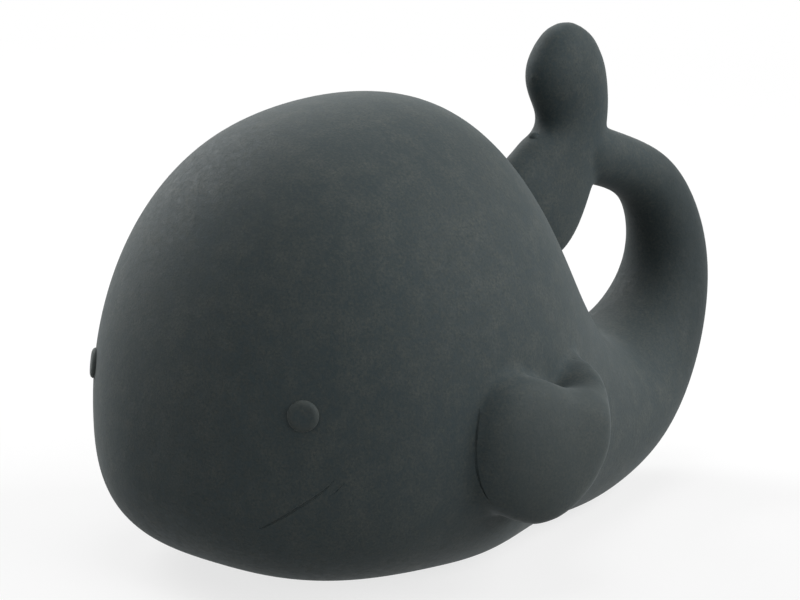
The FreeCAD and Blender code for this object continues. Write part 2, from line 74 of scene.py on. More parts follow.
def selectVerts(piece, wanted):
    # Select, in edit mode, the vertices that pass a test on their place
    form = bmesh.from_edit_mesh(piece.data)
    for vert in form.verts:
        vert.select = wanted(vert.co)
    form.select_flush(True)
    form.select_flush(False)
    bmesh.update_edit_mesh(piece.data)


def selectUnderside(piece):
    # Enter edit mode, by faces, with the faces that look down selected
    only(piece)
    bpy.ops.object.mode_set(mode="EDIT")
    bpy.ops.mesh.select_mode(type="FACE")
    bpy.ops.mesh.select_all(action="DESELECT")
    form = bmesh.from_edit_mesh(piece.data)
    for face in form.faces:
        face.select = face.normal.z < -0.5
    bmesh.update_edit_mesh(piece.data)


def flare(piece, steps, centre):
    # Draw the underside down in steps, each a drop in millimetres and a widening
    selectUnderside(piece)
    for drop, widen in steps:
        bpy.ops.mesh.extrude_region_move(TRANSFORM_OT_translate={"value": (0, 0, -drop * mm)})
        bpy.ops.transform.resize(value=(widen, widen, 1), center_override=centre)
    bpy.ops.mesh.select_mode(type="VERT")
    bpy.ops.object.mode_set(mode="OBJECT")


def stretch(piece, ring, factors, centre, wanted):
    # Scale, about a centre, the vertices of the newest ring that pass a test on their number
    form = bmesh.from_edit_mesh(piece.data)
    form.verts.ensure_lookup_table()
    for vert in form.verts:
        vert.select = False
    for number, vert in enumerate(ring(form)):
        vert.select = wanted(number)
    form.select_flush(True)
    bmesh.update_edit_mesh(piece.data)
    bpy.ops.transform.resize(value=factors, center_override=centre)


def tube(name, count, stations):
    # A closed tube drawn ring by ring from a disc. A station is centre, tilt about X in
    # degrees, then the reach to +X, -X, up and down in millimetres, and the squareness of
    # the lower half, 2 for an ellipse.
    bpy.ops.mesh.primitive_circle_add(
        vertices=count, radius=1.0, fill_type="NGON", rotation=(math.pi / 2, 0, 0))
    piece = startPiece(name)
    bpy.ops.object.mode_set(mode="EDIT")
    angles = [math.atan2(vert.co.z, vert.co.x) for vert in bmesh.from_edit_mesh(piece.data).verts]
    newest = lambda form: form.verts[-count:]

    def radial(angle, squareness):
        return (abs(math.cos(angle)) ** squareness + abs(math.sin(angle)) ** squareness) ** (-1 / squareness)

    centre, tilt, reaches, squareness = Vector((0, 0, 0)), 0.0, (1.0, 1.0, 1.0, 1.0), 2.0
    for number, station in enumerate(stations):
        newCentre, newTilt, right, left, up, down, newSquareness = station
        if number:
            bpy.ops.mesh.extrude_region_move()
        stretch(piece, newest, (1, 1, 1), centre, lambda index: True)
        bpy.ops.transform.rotate(value=math.radians(tilt), orient_axis="X", center_override=centre)
        new = [reach * mm for reach in (right, left, up, down)]
        ratio = [after / before for after, before in zip(new, reaches)]
        stretch(piece, newest, (ratio[0], 1, 1), centre, lambda index: math.cos(angles[index]) > small)
        stretch(piece, newest, (ratio[1], 1, 1), centre, lambda index: math.cos(angles[index]) < -small)
        stretch(piece, newest, (1, 1, ratio[2]), centre, lambda index: math.sin(angles[index]) > small)
        stretch(piece, newest, (1, 1, ratio[3]), centre, lambda index: math.sin(angles[index]) < -small)
        if newSquareness != squareness:
            for index in range(count):
                angle = angles[index]
                if math.sin(angle) < -small:
                    factor = radial(angle, newSquareness) / radial(angle, squareness)
                    stretch(piece, newest, (factor, 1, factor), centre, lambda other: other == index)
        stretch(piece, newest, (1, 1, 1), centre, lambda index: True)
        newCentre = Vector(newCentre) * mm
        bpy.ops.transform.translate(value=newCentre - centre)
        bpy.ops.transform.rotate(value=-math.radians(newTilt), orient_axis="X", center_override=newCentre)
        centre, tilt, reaches, squareness = newCentre, newTilt, new, newSquareness
    bpy.ops.mesh.edge_face_add()
    bpy.ops.mesh.select_all(action="SELECT")
    bpy.ops.mesh.normals_make_consistent(inside=False)
    bpy.ops.object.mode_set(mode="OBJECT")
    return piece


def turned(piece, angle, place):
    # Turn a piece about Z, seen from above to the left, and move it, both in its mesh
    only(piece)
    bpy.ops.object.mode_set(mode="EDIT")
    bpy.ops.mesh.select_all(action="SELECT")
    bpy.ops.transform.rotate(value=-math.radians(angle), orient_axis="Z", center_override=(0, 0, 0))
    bpy.ops.transform.translate(value=Vector((*place, 0)) * mm)
    bpy.ops.object.mode_set(mode="OBJECT")


def mirrored(piece, name):
    # A mirror image of a piece across the middle plane
    only(piece)
    bpy.ops.object.duplicate()
    twin = bpy.context.object
    twin.name = name
    bpy.ops.object.mode_set(mode="EDIT")
    bpy.ops.mesh.select_all(action="SELECT")
    bpy.ops.transform.resize(value=(-1, 1, 1), center_override=(0, 0, 0))
    bpy.ops.mesh.flip_normals()
    bpy.ops.object.mode_set(mode="OBJECT")
    return twin


def joined(name, *pieces):
    only(pieces[0])
    for piece in pieces[1:]:
        piece.select_set(True)
    bpy.ops.object.join()
    pieces[0].name = name
    pieces[0].data.name = name
    return pieces[0]


def flatAbove(piece, height):
    # Cut a closed piece flat at a height and keep what is over it
    only(piece)
    bpy.ops.object.mode_set(mode="EDIT")
    bpy.ops.mesh.select_all(action="SELECT")
    bpy.ops.mesh.bisect(plane_co=(0, 0, height), plane_no=(0, 0, 1), threshold=small * mm,
                        clear_inner=True, use_fill=True)
    bpy.ops.object.mode_set(mode="OBJECT")


def united(piece, other):
    applied(piece, "BOOLEAN", operation="UNION", object=other, solver="EXACT")
    removed(other)


def cutBy(piece, other):
    applied(piece, "BOOLEAN", operation="DIFFERENCE", object=other, solver="EXACT")
    removed(other)


def cleaned(piece):
    # Merge the slivers that cutting leaves
    only(piece)
    bpy.ops.object.mode_set(mode="EDIT")
    bpy.ops.mesh.select_all(action="SELECT")
    bpy.ops.mesh.remove_doubles(threshold=sliver)
    bpy.ops.mesh.dissolve_degenerate(threshold=sliver)
    bpy.ops.object.mode_set(mode="OBJECT")


def disc(name, radius, foot, top, place=(0, 0), sides=64):
    # An upright round block, in millimetres
    bpy.ops.mesh.primitive_cylinder_add(
        vertices=sides, radius=radius * mm, depth=(top - foot) * mm,
        location=Vector((*place, (foot + top) / 2)) * mm)
    return startPiece(name)


small = 1e-4
sliver = 0.02 * mm      # what is nearer than this after cutting is merged

# Body and tail

body = {
    # Along, height, tilt, half width, rise, drop, squareness
    "rings": [
        (-36.6, 20.8, 0, 4.4, 5.3, 3.6, 2.4),
        (-35.7, 22.2, 0, 9.9, 11.7, 8.1, 2.6),
        (-33.5, 23.7, 0, 16.3, 19.2, 13.6, 2.8),
        (-29.9, 25.3, 0, 22.5, 26.6, 19.0, 2.9),
        (-24.6, 26.7, 0, 28.2, 33.8, 23.7, 3.0),
        (-17.5, 27.9, 0, 33.3, 39.6, 27.1, 3.0),
        (-8.5, 28.8, 0, 36.9, 43.3, 29.2, 2.9),
        (3.0, 29.1, 0, 38.3, 44.6, 30.3, 2.75),
        (12.1, 28.3, -1, 37.0, 45.3, 30.3, 2.65),
        (21.0, 26.2, -3, 33.9, 44.8, 28.0, 2.45),
        (29.1, 22.4, -4, 30.0, 39.3, 23.7, 2.3),
        (37.3, 18.4, -3, 25.8, 31.5, 19.8, 2.2),
        (45.6, 15.9, 0.5, 22.3, 24.0, 17.8, 2.2),
        (54.1, 14.8, 9, 18.9, 18.2, 15.8, 2.1),
        (62.8, 15.6, 27, 15.4, 14.3, 14.0, 2.1),
        (70.7, 18.5, 49, 11.8, 11.1, 12.2, 2.0),
        (77.6, 24.9, 69, 9.2, 8.7, 9.5, 2.0),
        (81.6, 33.4, 90, 7.4, 6.9, 7.4, 2.0),
        (81.3, 41.5, 109, 6.3, 5.8, 6.3, 2.0),
        (77.8, 48.9, 128, 5.5, 5.1, 5.4, 2.0),
        (73.1, 52.6, 141, 5.1, 4.8, 4.7, 2.0),
        (67.6, 55.1, 152, 4.9, 4.8, 4.2, 2.0),
        (61.5, 57.3, 160, 5.0, 5.2, 4.3, 2.0),
        (56.0, 58.8, 166, 4.8, 5.2, 4.1, 2.0),
    ],
}


def bodyStations(inset, rings):
    return [
        ((0, along, height), tilt, half - inset, half - inset, rise - inset, drop - inset, squareness)
        for along, height, tilt, half, rise, drop, squareness in rings
    ]


flukes = {
    # From the upper lobe's tip over the bend to the lower lobe's tip: along, height, tilt,
    # half thickness, half width
    "rings": [
        (54.0, 79.6, 283.5, 1.4, 2.1),
        (54.2, 78.6, 283.5, 2.6, 3.8),
        (54.5, 77.0, 283.5, 3.8, 5.6),
        (54.7, 75.2, 283.5, 4.6, 7.1),
        (55.0, 73.2, 283, 5.1, 7.8),
        (55.7, 71.1, 282, 5.4, 8.2),
        (56.4, 68.8, 281, 5.3, 8.0),
        (57.3, 66.2, 279, 5.0, 7.6),
        (57.6, 62.8, 268, 4.9, 7.2),
        (55.9, 58.9, 248, 5.1, 7.5),
        (53.4, 55.2, 226, 5.2, 9.1),
        (51.2, 51.8, 214, 5.3, 10.3),
        (47.5, 49.1, 213, 5.4, 10.7),
        (43.8, 47.1, 213, 4.8, 9.3),
        (41.3, 46.2, 213, 3.1, 5.9),
        (40.1, 45.4, 213, 1.4, 2.6),
    ],
}

# The left flipper, built along Y and then turned and moved to its place

flipper = {
    "turn": -23,
    "place": (41.9, 5.7),
    # A pillow with a thin rear edge. From front to rear: along, outward shift, bottom, top,
    # half thickness outside and inside
    "rings": [
        (-11.8, -1.7, 20.5, 27.0, 0.8, 0.8),
        (-11.1, -1.6, 18.0, 30.0, 2.3, 2.3),
        (-9.3, -1.5, 15.3, 33.2, 4.0, 4.0),
        (-6.0, -1.4, 12.5, 35.4, 5.2, 7.0),
        (-2.0, -1.3, 11.0, 35.5, 5.4, 8.5),
        (2.0, -1.1, 11.2, 34.2, 4.9, 9.0),
        (5.0, -1.0, 12.7, 32.6, 4.0, 9.0),
        (8.0, -1.0, 15.2, 32.1, 3.2, 8.5),
        (10.0, -1.1, 17.8, 32.3, 2.6, 6.5),
        (11.5, -1.0, 20.6, 31.6, 1.9, 3.5),
        (12.3, -0.8, 23.3, 30.0, 1.0, 1.2),
    ],
    # Its rear edge folds over at the top and runs back to the body, with a hollow in front:
    # along, shift, bottom, top, half thickness behind and in front
    "foldTurn": 66.4,
    "foldPlace": (44.8, 18.2),
    "foldRings": [
        (-1.4, -1.4, 22.5, 29.4, 0.5, 0.9),
        (-0.6, -1.0, 21.5, 31.2, 1.0, 2.2),
        (1.5, -0.5, 20.0, 32.9, 1.4, 5.2),
        (4.0, -0.2, 18.0, 33.9, 1.5, 8.0),
        (7.0, 0.0, 16.0, 34.2, 1.6, 9.5),
        (10.0, 0.0, 14.5, 34.3, 1.7, 10.0),
        (13.0, 0.0, 14.0, 34.4, 1.8, 10.0),
        (17.0, 0.0, 14.0, 34.4, 1.8, 10.0),
    ],
}


def standingRings(rings):
    return [
        ((shift, along, (bottom + top) / 2), 0.0, right, left, (top - bottom) / 2, (top - bottom) / 2, 2.0)
        for along, shift, bottom, top, right, left in rings
    ]


# One skin from body, flukes and flippers

skinForm = {
    "growth": 0.4,      # what smoothing takes off again
    "voxel": 0.68,
    "blendSteps": 6,
    # Crisp spots are smoothed half as much: place and reach, along the flipper's crease
    "crispSpots": [
        ((38.4, -4.4, 30.5), 2.4), ((38.2, -5.0, 27.5), 2.4), ((38.1, -5.3, 24.5), 2.4),
        ((38.0, -5.0, 21.5), 2.4), ((37.8, -4.2, 18.5), 2.4),
    ],
    # Softer spots: place, reach, steps. The hollow between flipper and back, the corner
    # where the flipper folds over, and its lower front corner.
    "softSpots": [
        ((38.5, 16.0, 31.5), 9.0, 8),
        ((44.5, 15.5, 31.0), 4.0, 10),
        ((44.5, 15.5, 31.0), 6.0, 8),
        ((44.0, 16.5, 31.0), 8.0, 5),
        ((42.8, 14.2, 31.9), 4.5, 12),
        ((35.8, 1.6, 13.0), 4.5, 14),
        ((35.8, 1.6, 13.0), 6.5, 8),
        ((46.7, 15.8, 22.5), 4.0, 5),
    ],
    # Stubs of the mould's parting line at the flukes: place and radius
    "stubs": [((0, 57.0, 46.4), 1.0), ((0, 48.2, 61.2), 1.0)],
}

skin = tube("WhaleBody", 48, bodyStations(-skinForm["growth"], body["rings"]))
lobes = tube("Flukes", 24, [
    ((0, along, height), tilt, thick, thick, wide, wide, 2.0)
    for along, height, tilt, thick, wide in flukes["rings"]
])
pillow = tube("FlipperPillow", 24, standingRings(flipper["rings"]))
fold = tube("FlipperFold", 24, standingRings(flipper["foldRings"]))
for piece in (skin, lobes, pillow, fold):
    applied(piece, "SUBSURF", levels=2)
turned(pillow, flipper["turn"], flipper["place"])
turned(fold, flipper["foldTurn"], flipper["foldPlace"])
leftFlipper = joined("LeftFlipper", pillow, fold)
rightFlipper = mirrored(leftFlipper, "RightFlipper")
flatAbove(skin, 0)
skin = joined("WhaleSkin", skin, lobes, leftFlipper, rightFlipper)
applied(skin, "REMESH", mode="VOXEL", voxel_size=skinForm["voxel"] * mm)
applied(skin, "SMOOTH", factor=0.5, iterations=skinForm["blendSteps"] // 2)


def near(place, reach):
    centre = Vector(place) * mm
    return lambda co: (Vector((abs(co.x), co.y, co.z)) - centre).length < reach * mm


crisp = [near(place, reach) for place, reach in skinForm["crispSpots"]]
only(skin)
bpy.ops.object.mode_set(mode="EDIT")
selectVerts(skin, lambda co: not any(test(co) for test in crisp))
bpy.ops.mesh.vertices_smooth(factor=0.5, repeat=skinForm["blendSteps"] // 2)
for place, reach, steps in skinForm["softSpots"]:
    bpy.ops.mesh.select_all(action="DESELECT")
    selectVerts(skin, near(place, reach))
    bpy.ops.mesh.vertices_smooth(factor=0.5, repeat=steps)
bpy.ops.object.mode_set(mode="OBJECT")
for place, radius in skinForm["stubs"]:
    bpy.ops.mesh.primitive_uv_sphere_add(
        segments=16, ring_count=10, radius=radius * mm, location=Vector(place) * mm)
    united(skin, startPiece("Stub"))
print("skin form:", len(skin.data.polygons), "faces")

# Eyes: low buttons with a wide soft shoulder

eyes = {
    "radius": 2.45,
    "foot": 2.0,        # how deep the button's root sits in the head
    "edge": 0.12,       # height of its upright edge
    # The shoulder: inward and up, step by step
    "shoulder": [(0.06, 0.14), (0.12, 0.14), (0.18, 0.12), (0.24, 0.08), (0.3, 0.03), (0.5, -0.02)],
    "spread": 40.5,     # degrees from the nose
    "height": 31.8,
}


def eyeSeat(hand):
    # Where a level line from the head's middle meets the skin, and the skin's direction there
    spread = math.radians(eyes["spread"])
    outwards = Vector((hand * math.sin(spread), -math.cos(spread), 0))
    start = Vector((0, 0, eyes["height"])) * mm
    hit, place, normal, _ = skin.ray_cast(start + outwards, -outwards)
    return place, normal


def eye(name, place, normal):
    depth = (eyes["foot"] + eyes["edge"]) * mm
    bpy.ops.mesh.primitive_cylinder_add(
        vertices=48, radius=eyes["radius"] * mm, depth=depth,
        location=place + normal * (eyes["edge"] * mm - depth / 2),
        rotation=normal.to_track_quat("Z", "Y").to_euler())
    button = bpy.context.object
    bpy.ops.object.mode_set(mode="EDIT")
    bpy.ops.mesh.select_all(action="DESELECT")
    selectVerts(button, lambda co: co.z > 0)
    for inward, upward in eyes["shoulder"]:
        bpy.ops.mesh.inset(thickness=inward * mm, depth=upward * mm)
    bpy.ops.object.mode_set(mode="OBJECT")
    return startPiece(name)


leftSeat, rightSeat = eyeSeat(1), eyeSeat(-1)
leftEye = eye("LeftEye", *leftSeat)
rightEye = eye("RightEye", *rightSeat)

# Fine grooves: a smile line with a short tick on each cheek, seen from the front (across, up),
# and the crease in front of each flipper, seen from the side (along, up). The last number is
# half the groove's width.

grooves = {
    "smile": [
        (27.6, 21.7, 0.10), (26.7, 20.4, 0.20), (25.4, 19.0, 0.25), (23.4, 17.4, 0.27),
        (21.2, 15.6, 0.25), (18.9, 14.1, 0.15), (16.9, 13.0, 0.06),
    ],
    "tick": [
        (28.6, 21.3, 0.08), (28.2, 20.7, 0.14), (27.8, 20.1, 0.15), (27.4, 19.6, 0.13), (27.0, 19.2, 0.06),
    ],
    "crease": [
        (-3.6, 32.2, 0.06), (-4.2, 29.8, 0.22), (-4.75, 27.0, 0.28), (-4.9, 24.5, 0.28), (-4.65, 21.6, 0.27),
        (-3.85, 18.6, 0.22), (-2.4, 16.2, 0.06),
    ],
    "lift": 0.05,       # the groove's middle over the skin
    "creaseLift": 0.1,
    "outside": 60,      # a place clear of the skin to look from
}


def groove(name, places, fromSide=0):
    # A thin tube along the surface, to be cut out of it; fromSide is 1 or -1 for a view from
    # that side, 0 for the front
    bpy.ops.curve.primitive_nurbs_path_add(radius=mm)
    piece = bpy.context.object
    line = piece.data.splines[0]
    line.points.add(len(places) - len(line.points))
    for point, (across, height, radius) in zip(line.points, places):
        if fromSide:
            start, way = Vector((fromSide * grooves["outside"], across, height)), Vector((-fromSide, 0, 0))
            lift = grooves["creaseLift"]
        else:
            start, way = Vector((across, -grooves["outside"], height)), Vector((0, 1, 0))
            lift = grooves["lift"]
        hit, place, normal, _ = skin.ray_cast(start * mm, way)
        point.co = (*(place + normal * lift * mm), 1)
        point.radius = radius
    line.order_u = 4
    line.use_endpoint_u = True
    piece.data.bevel_depth = mm
    piece.data.bevel_resolution = 2
    piece.data.use_fill_caps = True
    bpy.ops.object.convert(target="MESH")
    piece = startPiece(name)
    bpy.ops.object.mode_set(mode="EDIT")
    bpy.ops.mesh.select_all(action="SELECT")
    bpy.ops.mesh.remove_doubles(threshold=0.001 * mm)
    bpy.ops.mesh.normals_make_consistent(inside=False)
    bpy.ops.object.mode_set(mode="OBJECT")
    return piece


def otherSide(places):
    return [(-across, height, radius) for across, height, radius in places]


fineLines = joined(
    "FineLines",
    groove("LeftSmile", grooves["smile"]), groove("RightSmile", otherSide(grooves["smile"])),
    groove("LeftTick", grooves["tick"]), groove("RightTick", otherSide(grooves["tick"])),
    groove("LeftCrease", grooves["crease"], 1), groove("RightCrease", grooves["crease"], -1))
united(skin, joined("Eyes", leftEye, rightEye))

# Hollow inside, and the seat of the squeaker in the belly

hollow = {
    "wall": 2.6,
    "rings": 20,        # the tail is solid past these
    "bossRadius": 13.5,
    "bossRise": 2.0,
    "recessRadius": 10.0,
    "recessDepth": 1.6,
    "recessRound": 0.5,
    "neckRadius": 6.5,
    "place": (0, 22.0),
}


def innerRings():
    # The body's rings moved inwards, those of the nose along its length too
    widest = body["rings"][7][0]
    nose = widest - body["rings"][0][0]
    rings = []
    for along, *rest in body["rings"][1:hollow["rings"]]:
        if along < widest:
            along = widest + (along - widest) * (1 - hollow["wall"] / nose)
        rings.append((along, *rest))
    return rings


inside = tube("Inside", 48, bodyStations(hollow["wall"], innerRings()))
applied(inside, "SUBSURF", levels=1)
flatAbove(inside, hollow["wall"] * mm)
bossTop = hollow["wall"] + hollow["bossRise"]
cutBy(inside, disc("Boss", hollow["bossRadius"], -1, bossTop, hollow["place"]))
united(inside, disc("NeckHole", hollow["neckRadius"], -1, bossTop + 1, hollow["place"]))
recess = disc("Recess", hollow["recessRadius"], hollow["recessRound"], hollow["recessDepth"], hollow["place"])
flare(recess, [
    (hollow["recessRound"] / 4, 1 + 0.15 * hollow["recessRound"] * (step + 0.5) / hollow["recessRadius"])
    for step in range(5)
], Vector((*hollow["place"], 0)) * mm)
united(inside, recess)
cutBy(skin, joined("Cuts", inside, fineLines))
cleaned(skin)
bpy.ops.object.shade_smooth_by_angle(angle=math.radians(40))
print("skin with eyes, smile and hollow:", len(skin.data.polygons), "faces")

# Squeaker plug: the housing with a rounded flange, a raised ring and an air grille

plug = {
    # Half profile from the grille's middle round to the air way: out and up
    "profile": [
        (0, 0.75), (4.2, 0.75), (4.7, 0.65), (5.1, 0.42), (6.6, 0.42), (7.1, 0.5), (7.6, 0.75), (8.0, 0.75),
        (8.7, 0.5), (9.2, 0.44), (9.55, 0.55), (9.7, 0.85), (9.7, 1.3), (9.58, 1.52), (9.3, 1.6),
        (6.4, 1.6), (6.4, 4.7), (8.35, 4.7), (8.5, 4.85), (8.45, 5.1), (5.6, 7.4), (5.5, 7.5),
        (5.5, 13.3), (5.35, 13.5), (4.15, 13.5), (4.0, 13.35), (4.0, 1.6), (0, 1.6),
    ],
    "steps": 96,
    "place": (0, 22.0),
    "holes": 6,
    "holeCircle": 2.7,
    "holeRadius": 0.75,
    "holeSpan": (0.95, 2.5),    # foot and top of the straight part
    "holeSides": 32,
    "holeFlare": [(0.12, 1.05), (0.1, 1.12), (0.06, 1.15), (0.3, 1.0)],
}

bpy.ops.mesh.primitive_plane_add(size=mm)
squeakerPlug = startPiece("SqueakerPlug")
bpy.ops.object.mode_set(mode="EDIT")
bpy.ops.mesh.select_mode(type="VERT")
bpy.ops.mesh.select_all(action="SELECT")
bpy.ops.mesh.merge(type="CENTER")
middle = Vector((*plug["place"], 0)) * mm
before = Vector((0, 0, 0))
for number, (out, lift) in enumerate(plug["profile"]):
    point = middle + Vector((out, 0, lift)) * mm
    if number:
        bpy.ops.mesh.extrude_region_move(TRANSFORM_OT_translate={"value": point - before})
    else:
        bpy.ops.transform.translate(value=point - before)
    before = point
bpy.ops.mesh.select_all(action="SELECT")
bpy.ops.mesh.spin(steps=plug["steps"], angle=2 * math.pi, center=middle, axis=(0, 0, 1))
bpy.ops.mesh.select_all(action="SELECT")
bpy.ops.mesh.remove_doubles(threshold=0.002 * mm)
bpy.ops.mesh.normals_make_consistent(inside=False)
bpy.ops.object.mode_set(mode="OBJECT")


def airHole(name, across, along):
    # A drill with a flared foot, which leaves a rounded mouth in the grille
    place = (plug["place"][0] + across, plug["place"][1] + along)
    hole = disc(name, plug["holeRadius"], *plug["holeSpan"], place, plug["holeSides"])
    flare(hole, plug["holeFlare"], Vector((*place, 0)) * mm)
    return hole


holes = [airHole("MiddleHole", 0, 0)]
for number in range(plug["holes"]):
    angle = 2 * math.pi * number / plug["holes"]
    holes.append(airHole("Hole", plug["holeCircle"] * math.cos(angle), plug["holeCircle"] * math.sin(angle)))
cutBy(squeakerPlug, joined("AirHoles", *holes))
cleaned(squeakerPlug)
bpy.ops.object.shade_smooth_by_angle(angle=math.radians(35))
print("squeaker plug:", len(squeakerPlug.data.polygons), "faces")

# Materials

def newMaterial(name):
    material = bpy.data.materials.new(name)
    material.use_nodes = True
    return material, material.node_tree.nodes, material.node_tree.links


def mottleGroup():
    # Cloudy patches and fine grain, used by every finish. Patch Size and Grain Size are in
    # metres; Patches and Grain are 0 to 1.
    group = bpy.data.node_groups.new("Mottle", "ShaderNodeTree")
    for name in ("Patch Size", "Grain Size"):
        group.interface.new_socket(name, in_out="INPUT", socket_type="NodeSocketFloat")
    group.interface.new_socket("Stretch", in_out="INPUT", socket_type="NodeSocketVector")
    for name in ("Patches", "Grain"):
        group.interface.new_socket(name, in_out="OUTPUT", socket_type="NodeSocketFloat")
    nodes, links = group.nodes, group.links
    inlet = nodes.new("NodeGroupInput")
    outlet = nodes.new("NodeGroupOutput")
    place = nodes.new("ShaderNodeTexCoord")
    stretched = nodes.new("ShaderNodeVectorMath")
    stretched.operation = "MULTIPLY"
    links.new(place.outputs["Object"], stretched.inputs[0])
    links.new(inlet.outputs["Stretch"], stretched.inputs[1])
    for socket, detail, rough in (("Patches", 6.0, 0.6), ("Grain", 3.0, 0.65)):
        scale = nodes.new("ShaderNodeMath")
        scale.operation = "DIVIDE"
        scale.inputs[0].default_value = 1.0
        links.new(inlet.outputs["Patch Size" if socket == "Patches" else "Grain Size"], scale.inputs[1])
        noise = nodes.new("ShaderNodeTexNoise")
        noise.inputs["Detail"].default_value = detail
        noise.inputs["Roughness"].default_value = rough
        links.new(stretched.outputs["Vector"], noise.inputs["Vector"])
        links.new(scale.outputs["Value"], noise.inputs["Scale"])
        links.new(noise.outputs["Fac"], outlet.inputs[socket])
    return group


mottle = mottleGroup()


def mottled(nodes, patchSize, grainSize, stretch=(1, 1, 1)):
    node = nodes.new("ShaderNodeGroup")
    node.node_tree = mottle
    node.inputs["Patch Size"].default_value = patchSize * mm
    node.inputs["Grain Size"].default_value = grainSize * mm
    node.inputs["Stretch"].default_value = stretch
    return node


def ranged(nodes, links, source, fromRange, toRange):
    node = nodes.new("ShaderNodeMapRange")
    node.inputs["From Min"].default_value, node.inputs["From Max"].default_value = fromRange
    node.inputs["To Min"].default_value, node.inputs["To Max"].default_value = toRange
    links.new(source, node.inputs["Value"])
    return node.outputs["Result"]


def mixed(nodes, links, factor, first, second):
    # A colour between two; each is a colour or another node's output
    node = nodes.new("ShaderNodeMix")
    node.data_type = "RGBA"
    for name, value in (("Factor", factor), ("A", first), ("B", second)):
        socket = next(item for item in node.inputs if item.name == name and item.enabled)
        if isinstance(value, bpy.types.NodeSocket):
            links.new(value, socket)
        else:
            socket.default_value = value if name == "Factor" else (*value, 1)
    return next(item for item in node.outputs if item.enabled)


def bumped(nodes, links, shader, steps):
    # Heights one over another: each a source, a depth in millimetres and a strength
    last = None
    for source, depth, strength in steps:
        node = nodes.new("ShaderNodeBump")
        node.inputs["Distance"].default_value = depth * mm
        node.inputs["Strength"].default_value = strength
        links.new(source, node.inputs["Height"])
        if last:
            links.new(last.outputs["Normal"], node.inputs["Normal"])
        last = node
    links.new(last.outputs["Normal"], shader.inputs["Normal"])


def foldedPlace(nodes, links):
    # Distance from the middle plane, place along the whale, and height
    place = nodes.new("ShaderNodeTexCoord")
    apart = nodes.new("ShaderNodeSeparateXYZ")
    links.new(place.outputs["Object"], apart.inputs["Vector"])
    across = nodes.new("ShaderNodeMath")
    across.operation = "ABSOLUTE"
    links.new(apart.outputs["X"], across.inputs[0])
    return across.outputs["Value"], apart.outputs["Y"], apart.outputs["Z"]


def eyeRimHighlightGroup():
    # 1 on the shoulder of each eye, where a lighter rim is painted as a highlight, 0 elsewhere
    group = bpy.data.node_groups.new("EyeRimHighlight", "ShaderNodeTree")
    group.interface.new_socket("Rim", in_out="OUTPUT", socket_type="NodeSocketFloat")
    nodes, links = group.nodes, group.links
    outlet = nodes.new("NodeGroupOutput")
    folded = nodes.new("ShaderNodeCombineXYZ")
    for source, socket in zip(foldedPlace(nodes, links), folded.inputs):
        links.new(source, socket)
    away = nodes.new("ShaderNodeVectorMath")
    away.operation = "DISTANCE"
    links.new(folded.outputs["Vector"], away.inputs[0])
    away.inputs[1].default_value = leftSeat[0]
    reach = eyes["radius"] * mm
    inner = ranged(nodes, links, away.outputs["Value"], (reach * 0.62, reach * 0.86), (0, 1))
    outer = ranged(nodes, links, away.outputs["Value"], (reach * 1.01, reach * 1.06), (1, 0))
    both = nodes.new("ShaderNodeMath")
    both.operation = "MULTIPLY"
    links.new(inner, both.inputs[0])
    links.new(outer, both.inputs[1])
    links.new(both.outputs["Value"], outlet.inputs["Rim"])
    return group


rubberLook = {
    "dark": (0.024, 0.038, 0.043),
    "light": (0.047, 0.057, 0.056),
    # Dust tone for the haze and specks, and also the colour of the painted highlight on the eyes' shoulders
    "dustAndHighlight": (0.084, 0.092, 0.084),
    # Painted shade for the tail's end, which the body shadows
    "tail": (0.018, 0.026, 0.028),
    # Painted light for the flippers, which face the side light
    "flipper": (0.079, 0.092, 0.090),
    "patchSize": 22.0,
    "cloudSize": 4.0,
    "speckSize": 0.9,
    "grainSize": 0.4,
    "roughness": (0.66, 0.84),
    "specular": 0.25,
    "sheen": 0.1,
    "sheenRoughness": 0.45,
    "sheenTint": (0.92, 0.98, 0.98),
    # Share of the painted highlight on the eyes' shoulders, standing in for grazing sheen
    "rimHighlight": 0.3,
    # Painted shade darker towards the tail's end and painted light on the flippers: from, to, share
    "tailShadeReach": (0.071, 0.081, 0.7),
    "flipperLightReach": (0.0395, 0.043, 0.34),
}


